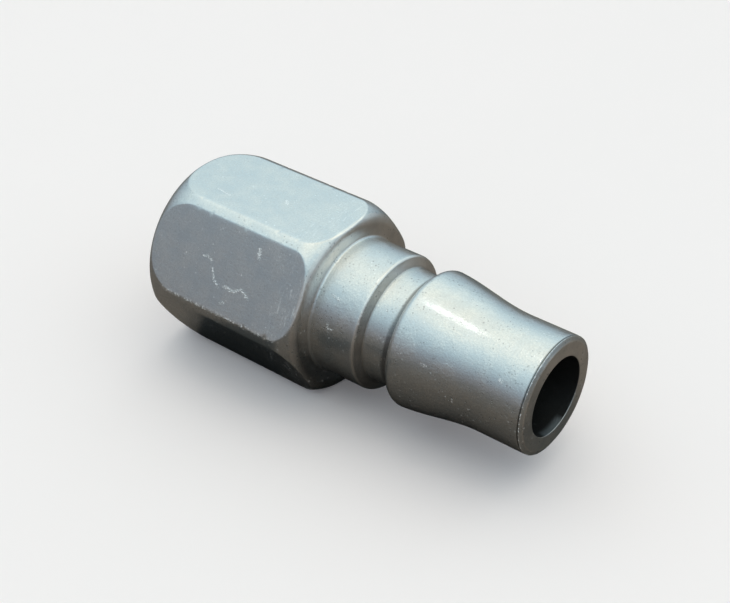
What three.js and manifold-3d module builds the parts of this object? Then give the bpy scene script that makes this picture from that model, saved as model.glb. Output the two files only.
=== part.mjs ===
// Plug half of a quick disconnect coupling for air or fluid, with its shut-off valve.
// Millimetres, +Z up. The coupling's axis lies along X, with the tip towards +X and the
// pipe port towards -X. The plug rests on one flat of its hexagon, and the origin is at
// the middle of its length and width, at the level of that flat.

import * as THREE from 'three';
import { mergeVertices } from 'three/addons/utils/BufferGeometryUtils.js';
import Module from 'manifold-3d';

const wasm = await Module();
wasm.setup();

// ---- Driving dimensions ----
const tipDiameter = 12;
const acrossFlats = 18;
const overallLength = 43.7;
const noseBoreDiameter = 8.1;
const chamberDiameter = 10.6;

// A station is a distance back from the tip face, along the axis.
const flareStart = 5.4;
const noseCrest = 14;
const grooveFront = 15;
const grooveRear = 17.9;
const hexFront = 23.75;
const seatStation = 19;
const guideFront = 29.4;

// Nose and shank
const tipRadius = tipDiameter / 2;
const tipFaceRadius = tipRadius - 0.51;
const tipChamferLength = 0.25;
const flareLength = 9.6;
const flareHeight = 1.12;
const crestRadius = tipRadius + 1.09;
const crestRound = 0.8;
const grooveRadius = 5.94;
const shankRadius = 7.08;
const stepLength = 0.75;
const shankFillet = 0.3;

// Hexagon: its corners are turned down, and both ends are rounded over
const hexCornerRadius = 10.1;
const frontRound = { length: 2.5, height: 1.8 };
const rearRound = { length: 4.8, height: 1.9 };

// Female pipe thread, nominal size 1/4 with 19 turns to the inch, on a 1 in 16 taper
const threadPitch = 25.4 / 19;
const threadMouthMinorRadius = 11.445 / 2;
const threadHeight = 0.856;
const threadTaper = 1 / 32;
const threadTurns = 7;
const portChamferRadius = 6.8;

// Inside of the body
const boreRadius = noseBoreDiameter / 2;
const chamberRadius = chamberDiameter / 2;
const ringThickness = 0.8;
const ringGrooveRadius = chamberRadius + 0.55;
const clearance = 0.1;
const boreEdge = 0.12;

// Poppet, its seal and its spring
const stemFront = 5;
const frontStemRadius = 2;
const rearStemRadius = 1.5;
const stemRear = 31.2;
const sealSection = 0.8;
const sealStation = 20;
const flangeRadius = 4.6;
const flangeFront = sealStation + sealSection + clearance / 2;
const flangeRear = 22;
const spigotRadius = 2.3;
const spigotLength = 0.9;
const wireRadius = 0.3;
const springRadius = 3;
const springTurns = 5;

// Guide that carries the poppet's rear stem and the end of the spring
const guideThickness = 1.4;
const hubRadius = 2.2;
const hubReach = 2.2;
const guideRunningClearance = 0.05;
const windowCount = 3;

const bodySides = 36;
const smallSides = 24;

// ---- Making solids ----

// Points along part of an ellipse, in [station, radius] pairs. The angle is measured from
// the direction of growing station, towards growing radius.
function arc([station, radius], length, height, fromDegrees, toDegrees, steps) {
  const points = [];
  for (let i = 0; i <= steps; i++) {
    const angle = THREE.MathUtils.degToRad(THREE.MathUtils.lerp(fromDegrees, toDegrees, i / steps));
    points.push([station + length * Math.cos(angle), radius + height * Math.sin(angle)]);
  }
  return points;
}

// A turned solid about the axis. The outline runs from the tip end to the port end on its
// outside, and then back, or it starts and ends on the axis.
function turned(outline, sides) {
  const points = outline.map(([station, radius]) => new THREE.Vector2(radius, -station));
  return new THREE.LatheGeometry(points.reverse(), sides).rotateZ(-Math.PI / 2);
}

// A flat outline in the plane across the axis, given a thickness back from a station
function plate(shape, station, thickness, curveSegments) {
  const settings = { depth: thickness, bevelEnabled: false, curveSegments };
  return new THREE.ExtrudeGeometry(shape, settings).rotateY(-Math.PI / 2).translate(-station, 0, 0);
}

function solid(geometry) {
  const bare = geometry.clone();
  bare.deleteAttribute('normal');
  bare.deleteAttribute('uv');
  const merged = mergeVertices(bare, 1e-5);
  const mesh = new wasm.Mesh({
    numProp: 3,
    vertProperties: new Float32Array(merged.attributes.position.array),
    triVerts: new Uint32Array(merged.index.array),
  });
  return new wasm.Manifold(mesh);
}

function toGeometry(manifold) {
  const { vertProperties, triVerts } = manifold.getMesh();
  const geometry = new THREE.BufferGeometry();
  geometry.setAttribute('position', new THREE.BufferAttribute(vertProperties, 3));
  geometry.setIndex(new THREE.BufferAttribute(triVerts, 1));
  geometry.computeVertexNormals();
  return geometry;
}

function piece(name, geometry, color, roughness, metalness) {
  const material = new THREE.MeshStandardMaterial({ color, roughness, metalness });
  const mesh = new THREE.Mesh(geometry, material);
  mesh.name = name;
  return mesh;
}

// ---- Plug body: hexagon, shank, ball groove and nose in one piece of bar ----

function flareRadius(station) {
  const share = (station - flareStart) / flareLength;
  return tipRadius + flareHeight * (1 - Math.cos(Math.PI * share)) / 2;
}

function noseOutline() {
  const points = [[0, tipFaceRadius], [tipChamferLength, tipRadius], [flareStart, tipRadius]];
  const steps = 7;
  for (let i = 1; i < steps; i++) {
    const station = THREE.MathUtils.lerp(flareStart, noseCrest, i / steps);
    points.push([station, flareRadius(station)]);
  }
  const crestCentre = [noseCrest, crestRadius - crestRound];
  points.push(...arc(crestCentre, crestRound, crestRound, 90, 15, 4));
  points.push([grooveFront, grooveRadius]);
  return points;
}

function shankOutline() {
  const round = stepLength / 2;
  const fillet = arc([grooveRear, grooveRadius + round], round, round, -90, -20, 2);
  const shoulder = arc([grooveRear + stepLength, shankRadius - round], round, round, 160, 90, 2);
  const rootCentre = [hexFront - shankFillet, shankRadius + shankFillet];
  return [...fillet, ...shoulder, ...arc(rootCentre, shankFillet, shankFillet, -90, 0, 3)];
}

function hexOutline() {
  const frontCentre = [hexFront + frontRound.length, hexCornerRadius - frontRound.height];
  const rearCentre = [overallLength - rearRound.length, hexCornerRadius - rearRound.height];
  return [
    ...arc(frontCentre, frontRound.length, frontRound.height, 180, 90, 6),
    ...arc(rearCentre, rearRound.length, rearRound.height, 90, 0, 7),
  ];
}

function threadMinorRadius(station) {
  return threadMouthMinorRadius - (overallLength - station) * threadTaper;
}

// The thread is cut as rings of its real pitch and depth, from the port inwards.
function threadOutline() {
  const points = [];
  const mouth = overallLength - (portChamferRadius - threadMouthMinorRadius);
  for (let turn = 0; turn < threadTurns; turn++) {
    const crest = mouth - turn * threadPitch;
    const root = crest - threadPitch / 2;
    points.push([crest, threadMinorRadius(crest)]);
    points.push([root, threadMinorRadius(root) + threadHeight]);
  }
  const last = mouth - threadTurns * threadPitch;
  points.push([last, threadMinorRadius(last)]);
  return points;
}

function plugBody() {
  const ringFront = guideFront + guideThickness + clearance;
  const ringRear = ringFront + ringThickness + clearance;
  const inside = [
    [overallLength, portChamferRadius],
    ...threadOutline(),
    [ringRear + 0.6, chamberRadius],
    [ringRear, chamberRadius],
    [ringRear, ringGrooveRadius],
    [ringFront, ringGrooveRadius],
    [ringFront, chamberRadius],
    [seatStation + chamberRadius - boreRadius, chamberRadius],
    [seatStation, boreRadius],
    [boreEdge, boreRadius],
    [0, boreRadius + boreEdge],
  ];
  const outside = [...noseOutline(), ...shankOutline(), ...hexOutline()];
  const blank = solid(turned([...outside, ...inside, outside[0]], bodySides));
  const bar = new THREE.CylinderGeometry(1, 1, 2 * overallLength, 6);
  const barCornerRadius = acrossFlats / Math.sqrt(3);
  bar.scale(barCornerRadius, 1, barCornerRadius).rotateY(Math.PI / 6).rotateZ(Math.PI / 2);
  return toGeometry(blank.intersect(solid(bar)));
}

// ---- Valve: poppet, seal, spring, guide and retaining ring ----

// Mean radius that puts the seal one clearance off the 45 degree seat
function sealMeanRadius() {
  return boreRadius + (sealStation - seatStation) - (sealSection + clearance) * Math.SQRT2;
}

function valvePoppet() {
  const grooveRoot = sealMeanRadius() - sealSection - clearance / 2;
  const lipRear = sealStation - sealSection - clearance / 2;
  const lipRadius = grooveRoot + 0.75;
  const endChamfer = 0.4;
  return turned([
    [stemFront, 0],
    [stemFront, frontStemRadius - endChamfer],
    [stemFront + endChamfer, frontStemRadius],
    [lipRear - 2.6, frontStemRadius],
    [lipRear - 1.9, frontStemRadius + 0.3],
    [lipRear - 0.5, lipRadius],
    [lipRear, lipRadius],
    [lipRear, grooveRoot],
    [flangeFront, grooveRoot],
    [flangeFront, flangeRadius - 0.2],
    [flangeFront + 0.2, flangeRadius],
    [flangeRear, flangeRadius],
    [flangeRear, spigotRadius],
    [flangeRear + spigotLength, spigotRadius - 0.2],
    [flangeRear + spigotLength, rearStemRadius],
    [stemRear - endChamfer, rearStemRadius],
    [stemRear, rearStemRadius - endChamfer],
    [stemRear, 0],
  ], bodySides);
}

function valveSeal() {
  const ring = new THREE.TorusGeometry(sealMeanRadius(), sealSection, 12, bodySides);
  return ring.rotateY(Math.PI / 2).translate(-sealStation, 0, 0);
}

// Helix about the axis whose first and last turns are closed up
class SpringPath extends THREE.Curve {
  constructor(start, end) {
    super();
    this.start = start;
    this.end = end;
  }

  getPoint(share, target = new THREE.Vector3()) {
    const closedPitch = 2.2 * wireRadius;
    const turn = share * springTurns;
    const openTurns = THREE.MathUtils.clamp(turn - 1, 0, springTurns - 2);
    const openPitch = (this.end - this.start - 2 * closedPitch) / (springTurns - 2);
    const station = this.start + closedPitch * (turn - openTurns) + openPitch * openTurns;
    const angle = 2 * Math.PI * turn;
    return target.set(-station, springRadius * Math.cos(angle), springRadius * Math.sin(angle));
  }
}

function valveSpring() {
  const section = new THREE.Shape().absarc(0, 0, wireRadius, 0, 2 * Math.PI);
  const start = flangeRear + clearance + wireRadius;
  const end = guideFront - clearance - wireRadius;
  const settings = { extrudePath: new SpringPath(start, end), steps: springTurns * 16, curveSegments: 4 };
  return new THREE.ExtrudeGeometry(section, { ...settings, bevelEnabled: false });
}

function valveGuide() {
  const rear = guideFront + guideThickness;
  const boreWall = rearStemRadius + guideRunningClearance;
  const blank = solid(turned([
    [guideFront - hubReach, boreWall],
    [guideFront - hubReach, hubRadius],
    [guideFront, hubRadius],
    [guideFront, chamberRadius - clearance],
    [rear, chamberRadius - clearance],
    [rear, boreWall],
    [guideFront - hubReach, boreWall],
  ], bodySides));
  const halfWindow = THREE.MathUtils.degToRad(42);
  const window = new THREE.Shape();
  window.absarc(0, 0, chamberRadius - 0.9, -halfWindow, halfWindow, false);
  window.absarc(0, 0, hubRadius + 0.45, halfWindow, -halfWindow, true);
  let guide = blank;
  for (let i = 0; i < windowCount; i++) {
    const cutter = plate(window, guideFront - 1, guideThickness + 2, 8);
    cutter.rotateX((2 * Math.PI * i) / windowCount);
    guide = guide.subtract(solid(cutter));
  }
  return toGeometry(guide);
}

// Open ring for the groove in the chamber's wall, with two eyes for the fitting pliers
function retainingRing() {
  const outer = ringGrooveRadius - clearance;
  const inner = outer - 1.15;
  const eye = { radius: inner - 0.55, reach: 0.85, hole: 0.4 };
  const gapHalf = THREE.MathUtils.degToRad(14);
  const eyeEnd = gapHalf + THREE.MathUtils.degToRad(24);
  const eyeAngle = (gapHalf + eyeEnd) / 2;
  const shape = new THREE.Shape();
  shape.absarc(0, 0, outer, gapHalf, 2 * Math.PI - gapHalf, false);
  shape.absarc(0, 0, eye.radius - eye.reach, -gapHalf, -eyeEnd, true);
  shape.absarc(0, 0, inner, 2 * Math.PI - eyeEnd, eyeEnd, true);
  shape.absarc(0, 0, eye.radius - eye.reach, eyeEnd, gapHalf, true);
  for (const side of [-1, 1]) {
    const hole = new THREE.Path();
    const [x, y] = [eye.radius * Math.cos(eyeAngle), side * eye.radius * Math.sin(eyeAngle)];
    hole.absarc(x, y, eye.hole, 0, 2 * Math.PI, true);
    shape.holes.push(hole);
  }
  const front = guideFront + guideThickness + 1.5 * clearance;
  return plate(shape, front, ringThickness, smallSides);
}

// ---- The coupling half ----

const steel = 0xa6adb0;
const springSteel = 0x8f9498;
const brass = 0xb59a5b;
const rubber = 0x1c1c1e;

const plug = new THREE.Group();
plug.position.set(overallLength / 2, 0, acrossFlats / 2);
plug.add(
  piece('plug_body', plugBody(), steel, 0.36, 1),
  piece('valve_poppet', valvePoppet(), brass, 0.32, 1),
  piece('valve_seal', valveSeal(), rubber, 0.7, 0),
  piece('valve_spring', valveSpring(), springSteel, 0.3, 1),
  piece('valve_guide', valveGuide(), brass, 0.4, 1),
  piece('retaining_ring', retainingRing(), springSteel, 0.45, 1),
);

export default plug;
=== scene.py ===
"""Looks of the coupling plug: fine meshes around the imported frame, worn plated steel, soft studio light."""

import math
from functools import cached_property

import bmesh
import bpy
import numpy as np
from mathutils import Matrix, Vector, noise


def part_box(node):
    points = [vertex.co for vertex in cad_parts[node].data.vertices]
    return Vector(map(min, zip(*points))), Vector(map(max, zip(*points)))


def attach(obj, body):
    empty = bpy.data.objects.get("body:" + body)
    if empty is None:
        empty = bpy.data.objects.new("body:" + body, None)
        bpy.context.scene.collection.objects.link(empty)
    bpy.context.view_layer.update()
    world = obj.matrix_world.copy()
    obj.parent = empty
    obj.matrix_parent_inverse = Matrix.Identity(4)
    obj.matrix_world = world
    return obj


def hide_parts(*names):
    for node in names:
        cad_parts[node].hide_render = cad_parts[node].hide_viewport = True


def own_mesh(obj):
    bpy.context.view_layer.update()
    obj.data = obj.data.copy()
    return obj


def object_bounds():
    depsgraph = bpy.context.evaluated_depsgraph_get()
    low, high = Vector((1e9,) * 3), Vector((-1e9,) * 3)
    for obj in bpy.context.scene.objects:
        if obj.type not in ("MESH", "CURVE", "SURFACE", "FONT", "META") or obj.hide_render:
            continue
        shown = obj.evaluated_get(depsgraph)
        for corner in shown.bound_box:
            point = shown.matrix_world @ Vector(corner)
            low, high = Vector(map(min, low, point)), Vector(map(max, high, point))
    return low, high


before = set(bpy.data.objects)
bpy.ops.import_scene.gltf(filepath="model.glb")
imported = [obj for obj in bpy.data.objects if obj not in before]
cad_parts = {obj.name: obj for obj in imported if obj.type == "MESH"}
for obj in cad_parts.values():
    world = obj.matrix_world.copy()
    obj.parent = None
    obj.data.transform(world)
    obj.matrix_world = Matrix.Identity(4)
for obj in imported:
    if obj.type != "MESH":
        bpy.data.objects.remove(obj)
CAD_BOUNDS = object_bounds()

MM = 0.001

# ---- Sizes, in millimetres. A station is a distance back from the tip face, along the axis. ----

BODY_LOW, BODY_HIGH = (np.array(corner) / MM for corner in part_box("plug_body"))
TIP_X = BODY_HIGH[0]
AXIS_Z = (BODY_LOW[2] + BODY_HIGH[2]) / 2
LENGTH = BODY_HIGH[0] - BODY_LOW[0]
APOTHEM = (BODY_HIGH[2] - BODY_LOW[2]) / 2
CORNER_RADIUS = BODY_HIGH[1]

TIP_RADIUS = 6.0
TIP_FACE_RADIUS = 5.49
TIP_CHAMFER = 0.25
FLARE_START = 5.4
FLARE_LENGTH = 9.6
FLARE_HEIGHT = 1.12
CREST_STATION = 14.0
CREST_RADIUS = 7.09
CREST_ROUND = 0.8
GROOVE_FRONT = 15.0
GROOVE_REAR = 17.9
GROOVE_RADIUS = 5.94
SHANK_FRONT = 18.65
SHANK_RADIUS = 7.08
SHANK_FILLET = 0.3
STEP_ROUND = 0.375
HEX_FRONT = 23.75
FRONT_ROUND = (2.5, 1.8)
REAR_ROUND = (4.8, 1.9)

BORE_RADIUS = 4.05
SEAT_STATION = 19.0
CHAMBER_RADIUS = 5.3
RING_GROOVE = (30.9, 31.8)
RING_GROOVE_RADIUS = 5.85
PORT_CHAMFER_RADIUS = 6.8

THREAD_PITCH = 25.4 / 19
THREAD_MOUTH_MINOR = 11.445 / 2
THREAD_HEIGHT = 0.856
THREAD_TAPER = 1 / 32
THREAD_LENGTH = 9.4

SEAL_STATION = 20.0
SEAL_SECTION = 0.8
SEAL_MEAN_RADIUS = 3.777
WIRE_RADIUS = 0.3
SPRING_RADIUS = 3.0
SPRING_TURNS = 5
FLANGE_REAR = 22.0
GUIDE_FRONT = 29.4
GUIDE_REAR = 30.8

# ---- Drawing outlines as [station, radius] points ----


def arc(centre, length, height, start, end, steps):
    """Points along part of an ellipse. The angle, in degrees, turns from rearwards to outwards."""
    angles = np.radians(np.linspace(start, end, steps + 1))
    return [(centre[0] + length * math.cos(a), centre[1] + height * math.sin(a)) for a in angles]


def rounded(corners, steps=4):
    """A line through corners given as (station, radius, size of the rounding), each rounded off."""
    points = []
    for i, (station, radius, size) in enumerate(corners):
        here = np.array((station, radius))
        if size == 0 or i in (0, len(corners) - 1):
            points.append(tuple(here))
            continue
        before = np.array(corners[i - 1][:2]) - here
        after = np.array(corners[i + 1][:2]) - here
        start = here + before / np.linalg.norm(before) * size
        end = here + after / np.linalg.norm(after) * size
        for t in np.linspace(0, 1, steps + 1):
            points.append(tuple((1 - t) ** 2 * start + 2 * t * (1 - t) * here + t**2 * end))
    return points


def dense(points, step):
    """The same line, with points added so that none of its stretches is longer than step."""
    result = [points[0]]
    for a, b in zip(points, points[1:]):
        pieces = max(1, math.ceil(math.dist(a, b) / step))
        for k in range(1, pieces + 1):
            result.append(tuple(np.array(a) + (np.array(b) - np.array(a)) * k / pieces))
    return result


# ---- Turning outlines into meshes ----


def turned_points(stations, radii, angles):
    """Places, in metres, of points round the axis. Angle 0 is straight up, a right angle towards -Y."""
    x = TIP_X - stations
    y = -radii * np.sin(angles)
    z = AXIS_Z + radii * np.cos(angles)
    return np.stack(np.broadcast_arrays(x, y, z), -1) * MM


def grid_mesh(name, rows, closed):
    """A mesh of quads over rows of points, each row a ring. closed joins the last row to the first."""
    count = rows.shape[1]
    total = len(rows)
    mesh = bpy.data.meshes.new(name)
    faces = []
    for i in range(total if closed else total - 1):
        j = (i + 1) % total
        for k in range(count):
            n = (k + 1) % count
            faces.append((i * count + k, j * count + k, j * count + n, i * count + n))
    if not closed:
        faces.append(tuple(range(count)))
        faces.append(tuple((total - 1) * count + k for k in reversed(range(count))))
    mesh.from_pydata(rows.reshape(-1, 3).tolist(), [], faces)
    return mesh


def show(mesh, node, body, material):
    """Puts a fine mesh in place of its CAD node."""
    mesh.shade_smooth()
    piece = bpy.data.objects.new(mesh.name, mesh)
    bpy.context.scene.collection.objects.link(piece)
    mesh.materials.clear()
    mesh.materials.append(material)
    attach(piece, body)
    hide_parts(node)
    return piece


def turned_mesh(name, outline, sides, closed):
    angles = np.linspace(0, 2 * math.pi, sides, endpoint=False)
    rows = np.array([turned_points(s, r, angles) for s, r in outline])
    return grid_mesh(name, rows, closed)


# ---- Plug body ----

# Half the angle that a flat of the hexagon takes up, before its turned-down corner starts
FLAT_HALF_ANGLE = math.degrees(math.acos(APOTHEM / CORNER_RADIUS))


def body_angles():
    """Angles of the body's rows, crowded together where the flats end."""
    near = 0.5
    flat = FLAT_HALF_ANGLE - near
    middle = np.linspace(-1, 1, 30, endpoint=False)
    eased = flat * np.sin(middle * math.pi / 2)
    edge = np.linspace(flat, FLAT_HALF_ANGLE + near, 6, endpoint=False)
    corner = np.linspace(FLAT_HALF_ANGLE + near, 60 - FLAT_HALF_ANGLE - near, 4, endpoint=False)
    next_edge = np.linspace(60 - FLAT_HALF_ANGLE - near, 60 - flat, 6, endpoint=False)
    sector = np.concatenate([eased, edge, corner, next_edge])
    return np.radians(np.concatenate([sector + 60 * k for k in range(6)]))


def bar_radius(angles):
    """Distance from the axis to the hexagon bar's surface, its corners turned down and slightly rounded."""
    blend = 0.05
    nearest_flat = np.round(np.degrees(angles) / 60) * 60
    flat = APOTHEM / np.cos(angles - np.radians(nearest_flat))
    return 0.5 * (flat + CORNER_RADIUS - np.sqrt((flat - CORNER_RADIUS) ** 2 + blend**2))


def end_rows(centre, size, direction, angles, straight_end):
    """Rows over one end of the hexagon, from its face to straight_end, one along each flat's crease.

    centre and size are those of the quarter ellipse that the end is turned to; direction is -1 in front.
    """
    length, height = size
    crease_size = 0.13
    bar = bar_radius(angles)
    sine = np.clip((bar - centre[1]) / height, 0, 0.9999)
    crease_turn = np.arcsin(sine)
    crease_station = centre[0] + direction * length * np.cos(crease_turn)
    before_turn = np.maximum(crease_turn - crease_size / height, 0)
    rows = []
    for t in np.linspace(0, 1, 14):
        turn = before_turn * t
        rows.append((centre[0] + direction * length * np.cos(turn), centre[1] + height * np.sin(turn)))
    start_station, start_radius = rows[-1]
    after_station = crease_station - direction * crease_size
    for t in np.linspace(0, 1, 7)[1:]:
        station = (1 - t) ** 2 * start_station + 2 * t * (1 - t) * crease_station + t**2 * after_station
        radius = (1 - t) ** 2 * start_radius + (1 - (1 - t) ** 2) * bar
        rows.append((station, radius))
    for t in np.linspace(0, 1, 14)[1:]:
        rows.append((after_station + (straight_end - after_station) * t**1.4, bar))
    return rows


def front_outline():
    """Outside of the nose and shank, from the bore's mouth to the hexagon's front face."""
    tool_mark = TIP_RADIUS - 0.07
    tip = rounded([
        (0.04, BORE_RADIUS, 0), (0, BORE_RADIUS + 0.04, 0.01), (0, TIP_FACE_RADIUS, 0.05),
        (TIP_CHAMFER, TIP_RADIUS, 0.04), (TIP_CHAMFER + 0.07, tool_mark, 0.03),
        (TIP_CHAMFER + 0.15, tool_mark, 0.03), (TIP_CHAMFER + 0.25, TIP_RADIUS, 0.04),
        (FLARE_START, TIP_RADIUS, 0)])
    flare = []
    for station in np.linspace(FLARE_START, CREST_STATION, 26)[1:-1]:
        share = (station - FLARE_START) / FLARE_LENGTH
        flare.append((station, TIP_RADIUS + FLARE_HEIGHT * (1 - math.cos(math.pi * share)) / 2))
    crest = arc((CREST_STATION, CREST_RADIUS - CREST_ROUND), CREST_ROUND, CREST_ROUND, 90, 12, 10)
    shoulder = arc((SHANK_FRONT, SHANK_RADIUS - STEP_ROUND), STEP_ROUND, STEP_ROUND, 165, 90, 8)
    groove = rounded([
        (*crest[-1], 0), (GROOVE_FRONT, GROOVE_RADIUS, 0.12), (GROOVE_REAR, GROOVE_RADIUS, 0.2),
        (*shoulder[0], 0)], 6)
    groove += [*shoulder[1:], (HEX_FRONT - SHANK_FILLET, SHANK_RADIUS)]
    root_centre = (HEX_FRONT - SHANK_FILLET, SHANK_RADIUS + SHANK_FILLET)
    root = arc(root_centre, SHANK_FILLET, SHANK_FILLET, -90, 0, 8)
    return dense(tip + flare + crest + groove[1:] + root[1:], 0.22)


def thread_minor(station):
    return THREAD_MOUTH_MINOR - (LENGTH - station) * THREAD_TAPER


def port_rows(angles):
    """Rows down the port: its chamfer, and the right-handed pipe thread inside it."""
    chamfer_length = PORT_CHAMFER_RADIUS - THREAD_MOUTH_MINOR
    end = LENGTH - chamfer_length - THREAD_LENGTH
    rows = []
    for station in np.arange(LENGTH - 0.03, end, -THREAD_PITCH / 14):
        turn = station / THREAD_PITCH + angles / (2 * math.pi)
        share = np.abs(2 * (turn % 1) - 1)
        depth = np.clip(1.25 * share - 0.125, 0, 1)
        runout = min(1, (station - end) / THREAD_PITCH)
        radius = thread_minor(station) + THREAD_HEIGHT * runout * depth
        chamfer = PORT_CHAMFER_RADIUS - (LENGTH - station)
        rows.append((np.full(len(angles), station), np.maximum(radius, chamfer)))
    return rows


def inner_outline():
    """Inside of the body, from the thread's end to the bore's mouth."""
    end = LENGTH - (PORT_CHAMFER_RADIUS - THREAD_MOUTH_MINOR) - THREAD_LENGTH
    seat_end = SEAT_STATION + CHAMBER_RADIUS - BORE_RADIUS
    return dense(rounded([
        (end - 0.1, thread_minor(end), 0), (RING_GROOVE[1] + 0.5, CHAMBER_RADIUS, 0.1),
        (RING_GROOVE[1], CHAMBER_RADIUS, 0.04), (RING_GROOVE[1], RING_GROOVE_RADIUS, 0.04),
        (RING_GROOVE[0], RING_GROOVE_RADIUS, 0.04), (RING_GROOVE[0], CHAMBER_RADIUS, 0.04),
        (seat_end, CHAMBER_RADIUS, 0.15), (SEAT_STATION, BORE_RADIUS, 0.15),
        (0.08, BORE_RADIUS, 0)]), 0.6)


def knocks():
    """Three small knocks along each of the hexagon's creases: station, angle, reach and depth."""
    draw = np.random.default_rng(5)
    for crease in range(12):
        side = FLAT_HALF_ANGLE if crease % 2 else -FLAT_HALF_ANGLE
        for _ in range(3):
            reach = draw.uniform(0.12, 0.19)
            yield draw.uniform(26, 39), math.radians(60 * (crease // 2) + side), reach, 0.25 * reach


def knock(stations, radii, angles):
    """The radii of the hexagon's surface, with the knocks pressed in."""
    radii = radii.copy()
    for station, angle, reach, depth in knocks():
        turn = (angles - angle + math.pi) % (2 * math.pi) - math.pi
        distance = np.hypot(stations - station, turn * CORNER_RADIUS) / reach
        radii -= np.where(radii > APOTHEM - 0.5, depth * np.exp(-distance**2), 0)
    return radii


def tip_wear(places, stations, radii):
    """Moves points round the tip's chamfer inwards by a small uneven amount."""
    edge = np.exp(-((stations - TIP_CHAMFER) / 0.2) ** 2) * (radii > TIP_FACE_RADIUS - 0.1)
    for i, k in np.argwhere(edge > 0.02):
        place = Vector(places[i, k]) / MM
        amount = 0.05 * max(0, noise.noise(place * 1.6)) + 0.03 * noise.noise(place * 5)
        centre = Vector((places[i, k, 0], 0, AXIS_Z * MM))
        outwards = (Vector(places[i, k]) - centre).normalized()
        places[i, k] = Vector(places[i, k]) - outwards * amount * edge[i, k] * MM


def body_rows(angles):
    """Rows of (stations, radii) from the bore's mouth over the outside and back through the inside.

    Also the numbers of the rows where the hexagon and the inside start.
    """
    front_centre = (HEX_FRONT + FRONT_ROUND[0], CORNER_RADIUS - FRONT_ROUND[1])
    rear_centre = (LENGTH - REAR_ROUND[0], CORNER_RADIUS - REAR_ROUND[1])
    crease_reach = 1.2
    front_straight = front_centre[0] + crease_reach
    rear_straight = rear_centre[0] - crease_reach
    ring = np.ones(len(angles))
    rows = [(s * ring, r * ring) for s, r in front_outline()]
    hexagon_start = len(rows)
    face_radii = np.linspace(SHANK_RADIUS + SHANK_FILLET, front_centre[1], 4)[1:-1]
    rows += [(HEX_FRONT * ring, r * ring) for r in face_radii]
    rows += end_rows(front_centre, FRONT_ROUND, -1, angles, front_straight)
    for station in np.linspace(front_straight, rear_straight, 110)[1:-1]:
        rows.append((station * ring, bar_radius(angles)))
    rows += end_rows(rear_centre, REAR_ROUND, 1, angles, rear_straight)[::-1]
    face_radii = np.linspace(rear_centre[1], PORT_CHAMFER_RADIUS, 4)[1:]
    rows += [(LENGTH * ring, r * ring) for r in face_radii]
    inside_start = len(rows)
    rows += port_rows(angles)
    rows += [(s * ring, r * ring) for s, r in inner_outline()]
    return rows, hexagon_start, inside_start


def plug_body(material):
    """The one turned piece of bar, outside and inside."""
    angles = body_angles()
    rows, hexagon_start, inside_start = body_rows(angles)
    stations = np.array([row[0] for row in rows])
    radii = np.array([row[1] for row in rows])
    hexagon = slice(hexagon_start, inside_start)
    radii[hexagon] = knock(stations, radii, angles)[hexagon]
    places = turned_points(stations, radii, angles)
    tip_wear(places, stations, radii)
    mesh = grid_mesh("plug_body_fine", places, closed=True)
    inside = np.zeros(stations.shape)
    inside[inside_start:] = 1
    for name, values in surface_marks(stations, radii, angles, inside).items():
        add_attribute(mesh, name, values)
    return show(mesh, "plug_body", "plug", material)


def surface_marks(stations, radii, angles, inside):
    """What the body's material needs to know of each point, by attribute name."""
    in_hexagon = (stations > HEX_FRONT + 0.05) & (inside == 0)
    nearest_flat = np.radians(np.round(np.degrees(angles) / 60) * 60)
    on_flat = in_hexagon & (radii * np.cos(angles - nearest_flat) > APOTHEM - 0.03)
    on_flat &= np.abs(angles - nearest_flat) < math.radians(FLAT_HALF_ANGLE)
    tip_edge = 0.7 * np.exp(-((stations - TIP_CHAMFER) / 0.07) ** 2) * (radii > TIP_FACE_RADIUS + 0.1)
    faced, tooled = tool_finish(stations, radii)
    return {
        "inside": inside,
        "depth": inside * np.minimum(stations, LENGTH - stations),
        "flat": on_flat.astype(float),
        "edge": np.maximum(edge_wear(radii, angles) * in_hexagon, tip_edge),
        # painted shade in the recesses, more of it low down
        "dirt_and_shade": corner_shade(stations, radii, angles) * (1 - inside),
        "faced": faced * (1 - inside),
        "tooled": tooled * (1 - inside),
    }


def corner_shade(stations, radii, angles):
    """Painted shade: 1 in the narrow recesses where shade falls, behind the crest, at the groove's root, in
    the tip's tool mark and on the bore's mouth, and more of it low down.
    """
    lowness = np.clip(0.25 + 1.5 * np.sin(angles / 2) ** 2, 0, 1)
    tool_mark = np.exp(-((stations - TIP_CHAMFER - 0.13) / 0.07) ** 2)
    behind_crest = np.exp(-(np.maximum(stations - GROOVE_FRONT, 0) / (0.32 + 0.5 * lowness)) ** 12)
    behind_crest = 0.75 * behind_crest * (stations > GROOVE_FRONT - 0.4)
    mouth = (radii < BORE_RADIUS + 0.03) & (stations < 0.1)
    groove_root = 0.4 * np.exp(-((stations - GROOVE_REAR) / 0.12) ** 2) * (radii < GROOVE_RADIUS + 0.2)
    return np.clip(tool_mark + behind_crest + groove_root + mouth, 0, 1)


def tool_finish(stations, radii):
    """Where the body was faced across the axis, and where the turning tool's lines stay strong."""
    tip = (stations < 0.06) & (radii > BORE_RADIUS)
    step = (stations > GROOVE_REAR) & (stations < SHANK_FRONT) & (radii < SHANK_RADIUS - 0.03)
    hexagon = (np.abs(stations - HEX_FRONT) < 0.5) & (radii > SHANK_RADIUS + 0.1)
    faced = (tip | step | hexagon).astype(float)
    groove = (stations > GROOVE_FRONT) & (stations < GROOVE_REAR) & (radii < GROOVE_RADIUS + 0.1)
    return faced, np.maximum(faced, groove)


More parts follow.
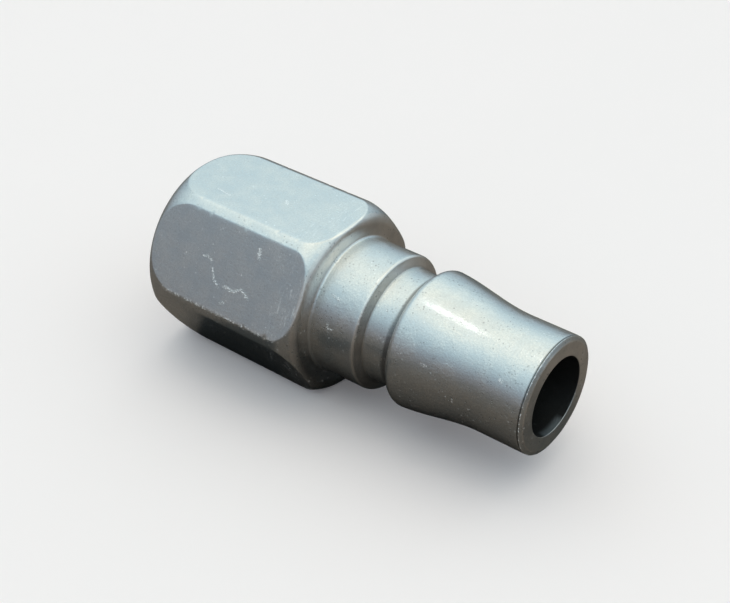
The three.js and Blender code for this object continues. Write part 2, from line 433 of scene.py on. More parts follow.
def edge_wear(radii, angles):
    """Wear on the creases where the flats end: most on those just above mid height, little underneath."""
    nearest_flat = np.radians(np.round(np.degrees(angles) / 60) * 60)
    height_on_flat = radii * np.cos(angles - nearest_flat)
    beside = (np.abs(angles - nearest_flat) - math.radians(FLAT_HALF_ANGLE)) * CORNER_RADIUS
    share = np.where(np.cos(angles) < 0, 0.3, np.clip(2 * np.sin(angles / 2) ** 2, 0.35, 1))
    return share * np.exp(-(beside / 0.22) ** 2) * np.exp(-((height_on_flat - APOTHEM) / 0.2) ** 2)


def add_attribute(mesh, name, values):
    attribute = mesh.attributes.new(name, "FLOAT", "POINT")
    attribute.data.foreach_set("value", np.ascontiguousarray(values, dtype=np.float32).ravel())


# ---- Valve ----


def valve_poppet(material):
    """Head with a groove for the seal, a front stem in the bore and a rear stem in the guide."""
    root = SEAL_MEAN_RADIUS - SEAL_SECTION - 0.05
    lip_rear = SEAL_STATION - SEAL_SECTION - 0.05
    flange_front = SEAL_STATION + SEAL_SECTION + 0.05
    outline = rounded([
        (5.0, 0.02, 0), (5.0, 1.6, 0.1), (5.4, 2.0, 0.15), (lip_rear - 2.6, 2.0, 0.5),
        (lip_rear - 0.5, root + 0.75, 0.15), (lip_rear, root + 0.75, 0.08), (lip_rear, root, 0.06),
        (flange_front, root, 0.06), (flange_front, 4.6, 0.18), (FLANGE_REAR, 4.6, 0.15),
        (FLANGE_REAR, 2.3, 0.12), (FLANGE_REAR + 0.9, 2.1, 0.15), (FLANGE_REAR + 0.9, 1.5, 0.1),
        (30.8, 1.5, 0.12), (31.2, 1.1, 0.1), (31.2, 0.02, 0)])
    mesh = turned_mesh("valve_poppet_fine", dense(outline, 1.0), 96, closed=False)
    return show(mesh, "valve_poppet", "valve", material)


def valve_seal(material):
    """Rubber ring with a round section."""
    outline = arc((SEAL_STATION, SEAL_MEAN_RADIUS), SEAL_SECTION, SEAL_SECTION, 360, 0, 24)[:-1]
    mesh = turned_mesh("valve_seal_fine", outline[::-1], 96, closed=True)
    mesh.flip_normals()
    return show(mesh, "valve_seal", "valve", material)


def spring_station(turn, start, end):
    """Station of the wire's centre after some turns. The first and last turns are closed up."""
    closed_pitch = 2.2 * WIRE_RADIUS
    open_turns = np.clip(turn - 1, 0, SPRING_TURNS - 2)
    open_pitch = (end - start - 2 * closed_pitch) / (SPRING_TURNS - 2)
    return start + closed_pitch * (turn - open_turns) + open_pitch * open_turns


def valve_spring(material):
    """Round wire along its helix, with the two end coils ground flat."""
    gap = 0.1
    start = FLANGE_REAR + gap + WIRE_RADIUS
    end = GUIDE_FRONT - gap - WIRE_RADIUS
    turns = np.linspace(0, SPRING_TURNS, SPRING_TURNS * 48 + 1)
    stations = spring_station(turns, start, end)
    angle = 2 * math.pi * turns
    across = SPRING_RADIUS * np.cos(angle)
    centres = np.stack([TIP_X - stations, across, AXIS_Z + SPRING_RADIUS * np.sin(angle)], -1)
    tangents = np.gradient(centres, axis=0)
    tangents /= np.linalg.norm(tangents, axis=1, keepdims=True)
    outwards = np.stack([np.zeros(len(turns)), np.cos(angle), np.sin(angle)], -1)
    sideways = np.cross(tangents, outwards)
    around = np.linspace(0, 2 * math.pi, 16, endpoint=False)
    section = outwards[:, None] * np.cos(around)[None, :, None]
    section = section + sideways[:, None] * np.sin(around)[None, :, None]
    rows = centres[:, None] + WIRE_RADIUS * section
    kept = 0.65 * WIRE_RADIUS
    rows[..., 0] = np.clip(rows[..., 0], TIP_X - end - kept, TIP_X - start + kept)
    mesh = grid_mesh("valve_spring_fine", rows * MM, closed=False)
    mesh.flip_normals()
    piece = show(mesh, "valve_spring", "plug", material)
    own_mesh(piece)
    return piece


def extruded(name, outlines, front, thickness):
    """A plate across the axis. outlines are its outer edge and holes, as (across, up) from the axis."""
    curve = bpy.data.curves.new(name, "CURVE")
    curve.dimensions = "2D"
    curve.fill_mode = "BOTH"
    curve.extrude = thickness / 2 * MM
    for outline in outlines:
        spline = curve.splines.new("POLY")
        spline.points.add(len(outline) - 1)
        for point, (across, up) in zip(spline.points, outline):
            point.co = (across * MM, up * MM, 0, 1)
        spline.use_cyclic_u = True
    holder = bpy.data.objects.new(name, curve)
    bpy.context.scene.collection.objects.link(holder)
    mesh = final_mesh(holder, name)
    bpy.data.objects.remove(holder)
    middle = (TIP_X - front - thickness / 2) * MM
    mesh.transform(Matrix.Translation((middle, 0, AXIS_Z * MM)) @ Matrix.Rotation(-math.pi / 2, 4, "Y"))
    weld(mesh)
    return mesh


def final_mesh(piece, name):
    """The mesh that a piece's modifiers leave."""
    bpy.context.view_layer.update()
    depsgraph = bpy.context.evaluated_depsgraph_get()
    mesh = bpy.data.meshes.new_from_object(piece.evaluated_get(depsgraph))
    mesh.name = name
    return mesh


def weld(mesh):
    work = bmesh.new()
    work.from_mesh(mesh)
    bmesh.ops.remove_doubles(work, verts=work.verts, dist=0.002 * MM)
    bmesh.ops.recalc_face_normals(work, faces=work.faces)
    work.to_mesh(mesh)
    work.free()


def with_modifiers(mesh, name, *settings):
    """The mesh after modifiers given as (type, {property: value})."""
    holder = bpy.data.objects.new(name, mesh)
    bpy.context.scene.collection.objects.link(holder)
    for kind, values in settings:
        modifier = holder.modifiers.new(kind.lower(), kind)
        for key, value in values.items():
            setattr(modifier, key, value)
    result = final_mesh(holder, name)
    bpy.data.objects.remove(holder)
    return result


def circle_points(radius, start, end, steps, centre=(0, 0)):
    angles = np.radians(np.linspace(start, end, steps))
    return [(centre[0] + radius * math.cos(a), centre[1] + radius * math.sin(a)) for a in angles]


EASED_EDGES = ("BEVEL", {
    "width": 0.07 * MM, "segments": 2, "limit_method": "ANGLE", "harden_normals": False})


def valve_guide(material):
    """Turned hub and rim, with three windows for the flow and a leg between each two."""
    outline = [
        (GUIDE_FRONT - 2.2, 1.55), (GUIDE_FRONT - 2.2, 2.2), (GUIDE_FRONT, 2.2), (GUIDE_FRONT, 5.2),
        (GUIDE_REAR, 5.2), (GUIDE_REAR, 1.55)]
    blank = turned_mesh("guide_blank", outline, 96, closed=True)
    half_window = 42
    cutter_mesh = bpy.data.meshes.new("guide_windows")
    work = bmesh.new()
    for k in range(3):
        outer = circle_points(4.4, -half_window, half_window, 22)
        inner = circle_points(2.65, half_window, -half_window, 14)
        window = extruded("window", [outer + inner], GUIDE_FRONT - 1, GUIDE_REAR - GUIDE_FRONT + 2)
        lift = Matrix.Translation((0, 0, AXIS_Z * MM))
        window.transform(lift @ Matrix.Rotation(2 * math.pi * k / 3, 4, "X") @ lift.inverted())
        work.from_mesh(window)
    work.to_mesh(cutter_mesh)
    work.free()
    cutter = bpy.data.objects.new("guide_windows", cutter_mesh)
    bpy.context.scene.collection.objects.link(cutter)
    cut = ("BOOLEAN", {"operation": "DIFFERENCE", "solver": "EXACT", "object": cutter})
    mesh = with_modifiers(blank, "valve_guide_fine", cut, EASED_EDGES)
    bpy.data.objects.remove(cutter)
    piece = show(mesh, "valve_guide", "plug", material)
    mesh.set_sharp_from_angle(angle=math.radians(40))
    return piece


def retaining_ring(material):
    """Open snap ring with an eye at each end for the fitting pliers."""
    outer = RING_GROOVE_RADIUS - 0.1
    inner = outer - 1.15
    gap_half, eye_end = 14, 38
    eye_radius, eye_reach = inner - 0.55, inner - 1.4
    eye_angle = math.radians((gap_half + eye_end) / 2)
    edge = circle_points(outer, gap_half, 360 - gap_half, 90)
    edge += circle_points(eye_reach, -gap_half, -eye_end, 8)
    edge += circle_points(inner, 360 - eye_end, eye_end, 76)
    edge += circle_points(eye_reach, eye_end, gap_half, 8)
    outlines = [edge]
    for side in (-1, 1):
        centre = (eye_radius * math.cos(eye_angle), side * eye_radius * math.sin(eye_angle))
        outlines.append(circle_points(0.4, 360, 15, 24, centre))
    plate = extruded("ring_plate", outlines, RING_GROOVE[0] + 0.05, 0.8)
    mesh = with_modifiers(plate, "retaining_ring_fine", EASED_EDGES)
    piece = show(mesh, "retaining_ring", "plug", material)
    mesh.set_sharp_from_angle(angle=math.radians(40))
    return piece


# ---- Materials ----


class Finish:
    """A material made of nodes, with short calls for the few kinds of node used here."""

    def __init__(self, name):
        self.material = bpy.data.materials.new(name)
        self.material.use_nodes = True
        self.tree = self.material.node_tree
        self.surface = self.tree.nodes["Principled BSDF"]
        place = self.node("ShaderNodeTexCoord").outputs["Object"]
        self.place = self.vector("MULTIPLY", place, (1 / MM,) * 3)

    @cached_property
    def split(self):
        """The three coordinates of the place, in millimetres."""
        return self.node("ShaderNodeSeparateXYZ", {"Vector": self.place}).outputs

    def node(self, kind, values=None, **settings):
        node = self.tree.nodes.new(kind)
        for key, value in settings.items():
            setattr(node, key, value)
        for key, value in (values or {}).items():
            self.put(node.inputs[key], value)
        return node

    def put(self, socket, value):
        if isinstance(value, bpy.types.NodeSocket):
            self.tree.links.new(value, socket)
        else:
            socket.default_value = value

    def math(self, operation, a, b=0.0, clamp=False):
        node = self.node("ShaderNodeMath", {0: a, 1: b}, operation=operation, use_clamp=clamp)
        return node.outputs[0]

    def vector(self, operation, a, b=(0, 0, 0)):
        return self.node("ShaderNodeVectorMath", {0: a, 1: b}, operation=operation).outputs[0]

    def stretched(self, scale, turn=(0, 0, 0)):
        node = self.node("ShaderNodeMapping", {"Vector": self.place, "Scale": scale, "Rotation": turn})
        return node.outputs[0]

    def from_axis(self, scale):
        """Coordinates that follow the turning tool: along the axis, away from it, and none round it."""
        side = self.split["Y"]
        height = self.math("SUBTRACT", self.split["Z"], AXIS_Z)
        side_square = self.math("MULTIPLY", side, side)
        radius = self.math("SQRT", self.math("ADD", side_square, self.math("MULTIPLY", height, height)))
        joined = self.node("ShaderNodeCombineXYZ", {"X": self.split["X"], "Y": radius}).outputs[0]
        return self.vector("MULTIPLY", joined, scale)

    def noise(self, scale, detail=2.0, place=None, roughness=0.5):
        values = {"Vector": place or self.place, "Scale": scale, "Detail": detail, "Roughness": roughness}
        return self.node("ShaderNodeTexNoise", values).outputs["Fac"]

    def cells(self, scale, place):
        node = self.node("ShaderNodeTexVoronoi", {"Vector": place, "Scale": scale})
        return node.outputs["Distance"], node.outputs["Color"]

    def step(self, value, low, high, out_low=0.0, out_high=1.0):
        values = {"Value": value, "From Min": low, "From Max": high, "To Min": out_low, "To Max": out_high}
        return self.node("ShaderNodeMapRange", values, interpolation_type="SMOOTHSTEP").outputs[0]

    def mix(self, share, a, b):
        node = self.node("ShaderNodeMix", {"Factor": share, "A": a, "B": b}, data_type="FLOAT")
        return node.outputs[0]

    def mix_color(self, share, a, b):
        node = self.tree.nodes.new("ShaderNodeMix")
        node.data_type = "RGBA"
        self.put(node.inputs[0], share)
        self.put(node.inputs[6], a)
        self.put(node.inputs[7], b)
        return node.outputs[2]

    def attribute(self, name):
        return self.node("ShaderNodeAttribute", attribute_name=name).outputs["Fac"]

    def bump(self, height, distance):
        return self.node("ShaderNodeBump", {"Height": height, "Distance": distance * MM}).outputs["Normal"]

    def finish(self, **values):
        for key, value in values.items():
            self.put(self.surface.inputs[key.replace("_", " ")], value)
        return self.material


def grey(level, warmth=0.0):
    return (level * (1 + warmth), level, level * (1 - warmth), 1)


# The marks that stand out, placed one by one. On a flat: (half width, points as (station, distance across
# the flat)). On a round part: (half width, radius of the part, points as (station, angle in degrees)).
FLAT_SCRATCHES = [
    (0.11, [(33.0, 1.7), (31.8, 1.8), (31.0, 1.2), (30.6, 1.5), (30.0, 1.8)]),
    (0.09, [(35.0, 0.5), (34.5, 1.5), (33.8, 2.0)]),
    (0.07, [(36.6, -0.2), (36.0, -0.5), (35.4, -0.2)]),
    (0.14, [(30.2, -3.2), (30.0, -2.4)]),
    (0.08, [(33.0, 3.4), (32.6, 3.2)]),
]
TOP_SCRATCHES = [
    (0.14, [(32.0, 0.0), (31.6, 0.4)]),
    (0.06, [(39.0, 2.4), (37.2, 2.6)]),
]
ROUND_SCRATCHES = [
    (0.07, SHANK_RADIUS, [(21.6, 69), (21.5, 73), (21.0, 73)]),
    (0.07, SHANK_RADIUS, [(22.0, 47), (21.2, 48)]),
    (0.06, 6.6, [(11.0, 68), (10.4, 68)]),
    (0.10, TIP_RADIUS, [(3.2, 53), (3.0, 54)]),
]
FRONT_FLAT_ANGLE = 60


def place_on_flat(station, across, angle):
    turn = math.radians(angle)
    y = -APOTHEM * math.sin(turn) - across * math.cos(turn)
    z = AXIS_Z + APOTHEM * math.cos(turn) - across * math.sin(turn)
    return (TIP_X - station, y, z)


def place_on_round(station, angle, radius):
    turn = math.radians(angle)
    return (TIP_X - station, -radius * math.sin(turn), AXIS_Z + radius * math.cos(turn))


def all_scratches():
    """(half width, start, end) of every straight stretch of every scratch, the widest first."""
    lines = []
    for angle, marks in ((FRONT_FLAT_ANGLE, FLAT_SCRATCHES), (0, TOP_SCRATCHES)):
        lines += [(width, [place_on_flat(*p, angle) for p in points]) for width, points in marks]
    for width, radius, points in ROUND_SCRATCHES:
        lines.append((width, [place_on_round(*p, radius) for p in points]))
    lines.sort(key=lambda line: -line[0])
    return [(width, a, b) for width, points in lines for a, b in zip(points, points[1:])]


def scratch_group():
    """Node group: 1 within Width of the line from Start to End, fading to 0 past it."""
    group = bpy.data.node_groups.new("scratch", "ShaderNodeTree")
    for name in ("Place", "Start", "End"):
        group.interface.new_socket(name, in_out="INPUT", socket_type="NodeSocketVector")
    for name in ("Width", "Raggedness"):
        group.interface.new_socket(name, in_out="INPUT", socket_type="NodeSocketFloat")
    group.interface.new_socket("Mark", in_out="OUTPUT", socket_type="NodeSocketFloat")
    nodes, links = group.nodes, group.links
    given = nodes.new("NodeGroupInput")
    result = nodes.new("NodeGroupOutput")

    def vector(operation, a, b=None, scale=None):
        node = nodes.new("ShaderNodeVectorMath")
        node.operation = operation
        links.new(a, node.inputs[0])
        if b is not None:
            links.new(b, node.inputs[1])
        if scale is not None:
            links.new(scale, node.inputs["Scale"])
        return node.outputs["Value" if operation in ("DOT_PRODUCT", "LENGTH") else "Vector"]

    line = vector("SUBTRACT", given.outputs["End"], given.outputs["Start"])
    offset = vector("SUBTRACT", given.outputs["Place"], given.outputs["Start"])
    along = vector("DOT_PRODUCT", offset, line)
    whole = vector("DOT_PRODUCT", line, line)
    share = nodes.new("ShaderNodeMath")
    share.operation = "DIVIDE"
    share.use_clamp = True
    links.new(along, share.inputs[0])
    links.new(whole, share.inputs[1])
    nearest = vector("SCALE", line, scale=share.outputs[0])
    distance = vector("LENGTH", vector("SUBTRACT", offset, nearest))
    ragged = nodes.new("ShaderNodeMath")
    links.new(distance, ragged.inputs[0])
    links.new(given.outputs["Raggedness"], ragged.inputs[1])
    fade = nodes.new("ShaderNodeMapRange")
    fade.interpolation_type = "SMOOTHSTEP"
    links.new(ragged.outputs[0], fade.inputs["Value"])
    links.new(given.outputs["Width"], fade.inputs["From Max"])
    fade.inputs["From Min"].default_value = 0.03
    fade.inputs["To Min"].default_value = 1.0
    fade.inputs["To Max"].default_value = 0.0
    links.new(fade.outputs[0], result.inputs["Mark"])
    return group


def scratches(f):
    """Where the bright scratches are, with ragged edges: all of them, and the wide ones with a relief.

    Cycles can't hold more than about 16 stretches in the relief.
    """
    deep_count = 16
    group = scratch_group()
    wobble_values = {"Vector": f.place, "Scale": 5.0, "Detail": 3.0}
    wobble = f.node("ShaderNodeTexNoise", wobble_values).outputs["Color"]
    shift = f.vector("MULTIPLY", f.vector("SUBTRACT", wobble, (0.5,) * 3), (0.3,) * 3)
    ragged = f.step(f.noise(9.0, 2.0), 0.3, 0.7, -0.12, 0.16)
    place = f.vector("ADD", f.place, shift)
    total = 0.0
    deep = 0.0
    for i, (width, start, end) in enumerate(all_scratches()):
        node = f.node("ShaderNodeGroup", node_tree=group)
        f.put(node.inputs["Place"], place)
        f.put(node.inputs["Start"], start)
        f.put(node.inputs["End"], end)
        f.put(node.inputs["Width"], 1.7 * width)
        f.put(node.inputs["Raggedness"], ragged)
        total = f.math("MAXIMUM", node.outputs["Mark"], total)
        if i < deep_count:
            deep = total
    broken = f.step(f.noise(8.0, 2.0), 0.42, 0.52, 0.15, 1.0)
    return f.math("MULTIPLY", total, broken), deep


def speckles(f, scale, turn, share, radius, area, crowd):
    """Small spots in a share of Voronoi cells, of up to the given radius as a share of a cell.

    They gather in patches, whose noise has the scale area, and wherever crowd is 1.
    """
    place = f.stretched((1, 1, 1), turn)
    distance, color = f.cells(scale, place)
    draw = f.node("ShaderNodeSeparateColor", {"Color": color}).outputs[0]
    size = f.step(draw, 1 - share, 1.0, 0.0, radius)
    gathered = f.step(f.noise(area, 2.0, place), 0.42, 0.6)
    return f.math("MULTIPLY", f.math("LESS_THAN", distance, size), f.math("MAXIMUM", gathered, crowd))


def spots(f, on, near_front):
    """Dark pits and light specks, crowded at the tip's near side and near the flats' front ends."""
    near_side = f.step(f.split["Y"], 0.6 - TIP_RADIUS, 1.6 - TIP_RADIUS, 1.0, 0.0)
    by_tip = f.math("MULTIPLY", f.step(f.split["X"], TIP_X - 2.5, TIP_X - 0.6), near_side)
    pits = speckles(f, 1.9, (0.3, 0.1, 0.7), 0.5, 0.17, 0.5, by_tip)
    fine_pits = speckles(f, 3.4, (0.9, 0.5, 0.2), 0.8, 0.36, 0.45, by_tip)
    specks = speckles(f, 1.5, (0.4, 0.9, 0.2), 0.22, 0.14, 0.5, 0.0)
    crowd = f.math("MAXIMUM", by_tip, near_front)
    fine_specks = speckles(f, 2.6, (0.1, 0.4, 1.3), 0.5, 0.26, 0.35, crowd)
    dark = f.math("MAXIMUM", pits, f.math("MULTIPLY", fine_pits, 0.9))
    light = f.math("MAXIMUM", specks, f.math("MULTIPLY", fine_specks, 0.6))
    return f.math("MULTIPLY", dark, f.mix(on["flat"], 1.0, 0.3)), light


def bare_marks(f, on, marks, light, near_front):
    """Where rough bare metal scatters the light: scratches, specks, rubbed streaks and chipped creases."""
    streaks = f.step(f.noise(1.0, 3.0, f.stretched((5.0, 0.9, 0.9)), 0.7), 0.56, 0.7)
    rubbed = f.math("MULTIPLY", streaks, near_front)
    chips = f.math("MULTIPLY", f.step(on["edge"], 0.35, 0.6), f.step(f.noise(5.5, 2.0), 0.55, 0.61))
    bare = f.math("MAXIMUM", marks, f.math("MULTIPLY", light, 0.6))
    bare = f.math("MAXIMUM", bare, f.math("MULTIPLY", rubbed, 0.45))
    return f.math("MAXIMUM", bare, f.math("MULTIPLY", chips, 0.8))


def inside_color(f, on):
    """Painted shade inside the bore, near black, but for a painted pool of light at the bottom of its mouth,
    and grey in the port.
    """
    # Painted light: a lit patch at the bottom of the mouth, on a bore wall painted near black as shade.
    near_mouth = f.step(on["depth"], 0.3, 1.0, 1.0, 0.0)
    low = f.step(f.split["Z"], AXIS_Z - 3.9, AXIS_Z - 3.6, 1.0, 0.0)
    bore = f.mix_color(f.math("MULTIPLY", near_mouth, low), grey(0.03), grey(0.22, -0.08))
    in_port = f.step(f.split["X"], TIP_X - SEAT_STATION - 2, TIP_X - SEAT_STATION, 1.0, 0.0)
    return f.mix_color(in_port, bore, grey(0.42))


def plated_color(f, on, grain, mottle, dark, bare):
    """Grey with faint cool and warm patches, warmer where it was faced, darker in pits, and painted shade
    near black in the recesses.
    """
    patches = f.step(mottle, 0.3, 0.7)
    worn_edge = f.math("MULTIPLY", on["edge"], f.step(f.noise(3.0, 3.0), 0.42, 0.58, 0.2, 1.0))
    color = f.mix_color(patches, (0.515, 0.545, 0.555, 1), (0.645, 0.63, 0.595, 1))
    color = f.mix_color(f.step(grain, 0.3, 0.7, 0.0, 0.65), color, grey(0.42))
    color = f.mix_color(on["faced"], color, f.mix_color(patches, grey(0.60, 0.07), grey(0.74, 0.09)))
    color = f.mix_color(f.math("MULTIPLY", dark, 0.55), color, grey(0.16, 0.05))
    color = f.mix_color(f.math("MULTIPLY", bare, 0.9), color, grey(0.9))
    color = f.mix_color(f.math("MULTIPLY", worn_edge, 0.5), color, grey(0.85))
    # Painted shade: the recesses behind the crest, at the groove's root, in the tip's tool mark and on the
    # bore's mouth go near black.
    color = f.mix_color(f.math("MULTIPLY", on["dirt_and_shade"], 0.95), color, grey(0.05, 0.05))
    return f.mix_color(on["inside"], color, inside_color(f, on))


def plated_roughness(f, on, grain, bare):
    """Satin all over, and duller where it is bare, inside the bore and in part of the grain."""
    roughness = f.math("ADD", f.mix(on["flat"], 0.32, 0.30), f.step(grain, 0.2, 0.8, -0.05, 0.07))
    roughness = f.math("ADD", roughness, f.math("MULTIPLY", bare, 0.3))
    return f.math("ADD", roughness, f.math("MULTIPLY", on["inside"], 0.15))


def plated_relief(f, on, grain, mottle, dark, deep_marks):
    """Turning lines on the round parts, rolled grain on the flats, and pits."""
    turning = f.noise(1.0, 2.0, f.from_axis((9.0, 9.0, 0.0)), 0.7)
    rolled = f.noise(1.0, 3.0, f.stretched((0.5, 4.0, 4.0)), 0.6)
    lines = f.math("MULTIPLY", turning, f.mix(on["tooled"], 0.5, f.mix(on["faced"], 1.6, 0.7)))
    pitted = f.math("MULTIPLY", f.noise(3.4, 1.0), f.step(mottle, 0.48, 0.6))
    height = f.math("MULTIPLY", grain, f.mix(on["flat"], 1.2, 1.0))
    height = f.math("ADD", height, f.math("MULTIPLY", pitted, f.mix(on["flat"], 1.0, 0.3)))
    height = f.math("ADD", height, f.mix(on["flat"], lines, f.math("MULTIPLY", rolled, 0.4)))
    height = f.math("SUBTRACT", height, f.math("MULTIPLY", dark, 0.8))
    height = f.math("ADD", height, f.math("MULTIPLY", deep_marks, 0.6))
    return f.bump(height, 0.020)


def plated_steel():
    """Satin zinc-plated steel, worn, under a clear passivated layer that mirrors the lamp."""
    f = Finish("plated_steel")
    names = ("inside", "depth", "flat", "edge", "dirt_and_shade", "faced", "tooled")
    on = {name: f.attribute(name) for name in names}
    grain = f.noise(6.0, 4.0, roughness=0.7)
    mottle = f.noise(0.45, 4.0, roughness=0.6)
    front = TIP_X - HEX_FRONT
    near_front = f.math("MULTIPLY", f.step(f.split["X"], front - 6, front - 2), on["flat"])
    marks, deep_marks = scratches(f)
    dark, light = spots(f, on, near_front)
    bare = bare_marks(f, on, marks, light, near_front)
    metallic = f.math("SUBTRACT", 1.0, f.math("MULTIPLY", bare, 0.7))
    metallic = f.math("SUBTRACT", metallic, f.math("MULTIPLY", on["inside"], 0.2), clamp=True)
    coated = f.math("SUBTRACT", 1.0, f.math("MAXIMUM", on["inside"], on["dirt_and_shade"]))
    relief = plated_relief(f, on, grain, mottle, dark, deep_marks)
    smooth = f.vector("MULTIPLY", f.node("ShaderNodeNewGeometry").outputs["Normal"], (1.4,) * 3)
    return f.finish(
        Base_Color=plated_color(f, on, grain, mottle, dark, bare), Metallic=metallic,
        Roughness=plated_roughness(f, on, grain, bare), Normal=relief,
        Anisotropic=0.3, Anisotropic_Rotation=0.25,
        Tangent=f.node("ShaderNodeTangent", direction_type="RADIAL", axis="X").outputs[0],
        Coat_Weight=coated, Coat_Roughness=0.08, Coat_IOR=2.8,
        Coat_Normal=f.vector("NORMALIZE", f.vector("ADD", smooth, relief)))


def turned_metal(name, color, dark, roughness):
    """Bright metal with fine turning lines and a little tarnish."""
    f = Finish(name)
    turning = f.noise(1.0, 2.0, f.from_axis((12.0, 12.0, 0.0)), 0.7)
    tarnish = f.noise(0.9, 4.0)
    shade = f.mix_color(f.step(tarnish, 0.4, 0.75), color, dark)
    gloss = f.math("ADD", f.step(turning, 0.3, 0.7, -0.06, 0.08), roughness)
    grain = f.math("MULTIPLY", f.noise(8.0, 3.0), 0.4)
    height = f.math("ADD", f.math("MULTIPLY", turning, 0.6), grain)
    return f.finish(Base_Color=shade, Metallic=1.0, Roughness=gloss, Normal=f.bump(height, 0.01))


def wire_steel(name, color, roughness):
    """Drawn or blanked spring steel with faint streaks and specks of dirt."""
    f = Finish(name)
    streaks = f.noise(1.0, 3.0, f.stretched((3.0, 0.8, 0.8)), 0.7)
    dirt_and_shade = f.step(f.noise(2.2, 4.0), 0.55, 0.75)
    shade = f.mix_color(f.math("MULTIPLY", dirt_and_shade, 0.6), color, grey(0.1, 0.1))
    gloss = f.math("ADD", f.step(streaks, 0.3, 0.7, -0.05, 0.1), roughness)
    return f.finish(Base_Color=shade, Metallic=1.0, Roughness=gloss, Normal=f.bump(streaks, 0.008))


def nitrile_rubber():
    """Black moulded rubber with a dusty bloom."""
    f = Finish("nitrile_rubber")
    bloom = f.step(f.noise(1.4, 4.0), 0.45, 0.8)
    shade = f.mix_color(f.math("MULTIPLY", bloom, 0.5), grey(0.02), grey(0.07, 0.05))
    gloss = f.math("ADD", f.math("MULTIPLY", bloom, 0.25), 0.5)
    return f.finish(Base_Color=shade, Roughness=gloss, Normal=f.bump(f.noise(12.0, 3.0), 0.01))


# ---- Studio ----


SHEET_REACH = 1.6
SHEET_RIM_START = 0.8


def sheet(name, level, rim_height, material):
    """A large sheet under the plug, at a level in mm over its lowest point. Its far rim may curve up."""
    mesh = bpy.data.meshes.new(name)
    work = bmesh.new()
    bmesh.ops.create_grid(work, x_segments=60, y_segments=60, size=SHEET_REACH)
    for vert in work.verts:
        share = max(0, vert.co.length - SHEET_RIM_START) / (SHEET_REACH - SHEET_RIM_START)
        vert.co.z = rim_height * share**2
    work.to_mesh(mesh)
    work.free()
    mesh.shade_smooth()
    mesh.materials.append(material)
    piece = bpy.data.objects.new(name, mesh)
    bpy.context.scene.collection.objects.link(piece)
    piece.location.z = CAD_BOUNDS[0].z + level * MM
    return piece


def floor():
    """The pale floor. Reflections in the metal pass through it."""
    f = Finish("floor_paint")
    tone = f.mix_color(f.noise(0.02, 2.0), (0.94, 0.82, 0.81, 1), (0.96, 0.84, 0.83, 1))
    piece = sheet("floor", -0.03, 0.4, f.finish(Base_Color=tone, Roughness=0.9))
    piece.visible_glossy = False


def table_openness(f):
    """Painted shade for the table's colour: near 0 in the plug's painted shadows, 1 far from it, and a
    painted lit patch behind it.

    The shadows' places were set, in mm, so that the lower flat mirrors what the photo's does.
    """
    rear, front = TIP_X - LENGTH + 2.4, TIP_X - HEX_FRONT
    contact = f.node("ShaderNodeAmbientOcclusion", {"Distance": 45 * MM}, samples=8).outputs["AO"]
    beside_hexagon = f.step(f.split["X"], front - 7, front - 3, 0.9, 0.0)
    hexagon_shadow = f.math("MULTIPLY", beside_hexagon, f.step(f.split["Y"], -75, -55))
    under_tip = (TIP_X + 4, 5, 0)
    from_tip = f.vector("MULTIPLY", f.vector("SUBTRACT", f.place, under_tip), (1, 1, 0))
    tip_distance = f.node("ShaderNodeVectorMath", {0: from_tip}, operation="LENGTH").outputs["Value"]
    shadow = f.math("MAXIMUM", hexagon_shadow, f.step(tip_distance, 2, 10, 0.75, 0.0))
    openness = f.math("MULTIPLY", f.math("POWER", contact, 1.5), f.math("SUBTRACT", 1.0, shadow))
    lit_behind = f.step(f.split["X"], rear - 0.5, rear + 0.5, 1.0, 0.0)
    return f.mix(lit_behind, openness, 0.95)


def reflected_table():
    """The dark wooden table that the metal mirrors, with the plug's shadows painted into its colour. Only
    reflections see it, just above the floor.
    """
    f = Finish("table_wood")
    figure = f.noise(1.0, 3.0, f.stretched((0.02, 0.12, 0.1)))
    tone = f.mix_color(figure, (0.15, 0.108, 0.083, 1), (0.12, 0.085, 0.066, 1))
    # Painted shadows: the table's colour goes to black where the plug would shade it.
    shaded = f.mix_color(table_openness(f), grey(0.0), tone)
    piece = sheet("reflected_table", -0.02, 0, f.finish(Base_Color=shaded, Roughness=0.6))
    piece.visible_camera = False
    piece.visible_diffuse = False
    piece.visible_transmission = False
    piece.visible_shadow = False


# Brightness of the surroundings, by how far up a direction points along the sky's axis:
# (share from straight down at 0 to straight up at 1, colour)
SURROUNDINGS = [
    (0.00, (0.035, 0.030, 0.026)),
    (0.08, (0.10, 0.080, 0.066)),
    (0.22, (0.12, 0.100, 0.088)),
    (0.40, (0.21, 0.20, 0.20)),
    (0.50, (0.29, 0.29, 0.305)),
    (0.58, (0.37, 0.43, 0.495)),
    (0.73, (0.62, 0.82, 0.91)),
    (0.85, (0.92, 1.14, 1.20)),
    (0.93, (1.20, 1.33, 1.27)),
    (1.00, (1.22, 1.26, 1.14)),
]
SKY_AXIS = (0.0, 0.17, 0.985)


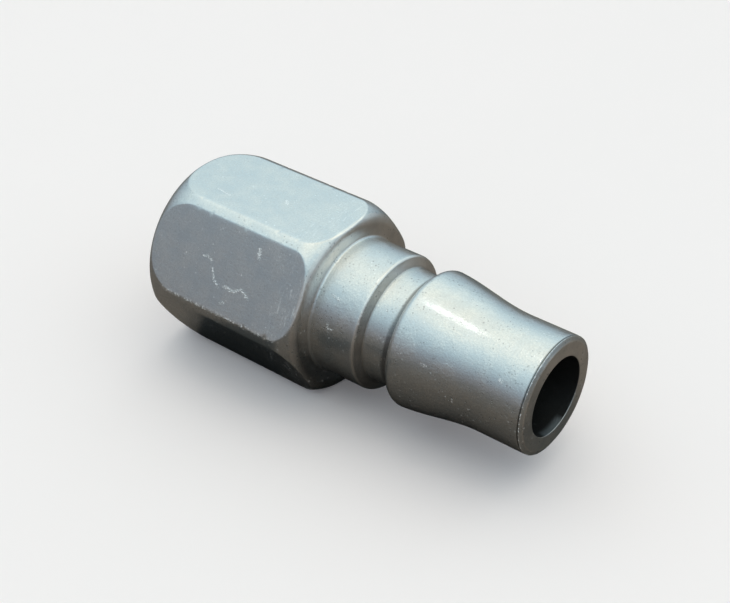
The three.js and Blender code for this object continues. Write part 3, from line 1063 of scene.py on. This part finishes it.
def surroundings():
    """A sky that brightens from straight down to straight up, by the stops in SURROUNDINGS."""
    world = bpy.data.worlds.new("surroundings")
    bpy.context.scene.world = world
    world.use_nodes = True
    tree = world.node_tree
    direction = tree.nodes.new("ShaderNodeTexCoord").outputs["Generated"]
    upwards = tree.nodes.new("ShaderNodeVectorMath")
    upwards.operation = "DOT_PRODUCT"
    tree.links.new(direction, upwards.inputs[0])
    upwards.inputs[1].default_value = SKY_AXIS
    share = tree.nodes.new("ShaderNodeMapRange")
    share.inputs["From Min"].default_value = -1.0
    tree.links.new(upwards.outputs["Value"], share.inputs["Value"])
    ramp = tree.nodes.new("ShaderNodeValToRGB")
    stops = ramp.color_ramp.elements
    while len(stops) < len(SURROUNDINGS):
        stops.new(0.5)
    for stop, (position, color) in zip(stops, SURROUNDINGS):
        stop.position = position
        stop.color = (*color, 1)
    tree.links.new(share.outputs[0], ramp.inputs["Fac"])
    tree.links.new(ramp.outputs["Color"], tree.nodes["Background"].inputs["Color"])


def ceiling_lamp():
    """Small bright panel nearly overhead, which draws the white streak along the nose."""
    direction = Vector((-0.16, 0.02, 0.985)).normalized()
    distance = 0.6
    lamp = bpy.data.lights.new("ceiling_lamp", "AREA")
    lamp.shape = "ELLIPSE"
    lamp.size = 0.06
    lamp.size_y = 0.105
    lamp.energy = 0.056
    piece = bpy.data.objects.new("ceiling_lamp", lamp)
    piece.location = direction * distance
    piece.rotation_euler = direction.to_track_quat("Z", "Y").to_euler()
    bpy.context.scene.collection.objects.link(piece)


CAMERA_PLACE = Vector((72.8, -91.2, 97.35)) * MM
CAMERA_TARGET = Vector((-0.6, 0.2, 9.7)) * MM
CAMERA_ROLL = math.radians(-1.07)
CAMERA_LENS = 72.8


def camera():
    """The photo's camera: its place, its aim and its slight roll."""
    data = bpy.data.cameras.new("camera")
    data.sensor_width = 36
    data.lens = CAMERA_LENS
    data.clip_start = 0.01
    forward = (CAMERA_TARGET - CAMERA_PLACE).normalized()
    level = forward.cross(Vector((0, 0, 1))).normalized()
    upright = level.cross(forward)
    right = math.cos(CAMERA_ROLL) * level + math.sin(CAMERA_ROLL) * upright
    up = right.cross(forward)
    turn = Matrix((right, up, -forward)).transposed().to_4x4()
    piece = bpy.data.objects.new("camera", data)
    piece.matrix_world = Matrix.Translation(CAMERA_PLACE) @ turn
    bpy.context.scene.collection.objects.link(piece)
    bpy.context.scene.camera = piece


# ---- The scene ----

camera()
plug_body(plated_steel())
valve_poppet(turned_metal("valve_brass", (0.72, 0.55, 0.27, 1), (0.45, 0.31, 0.14, 1), 0.28))
valve_seal(nitrile_rubber())
valve_spring(wire_steel("spring_wire", grey(0.52), 0.28))
valve_guide(turned_metal("guide_brass", (0.70, 0.53, 0.26, 1), (0.42, 0.29, 0.13, 1), 0.34))
retaining_ring(wire_steel("ring_steel", grey(0.20, 0.02), 0.42))
floor()
reflected_table()
surroundings()
ceiling_lamp()
bpy.context.scene.view_settings.view_transform = "Standard"
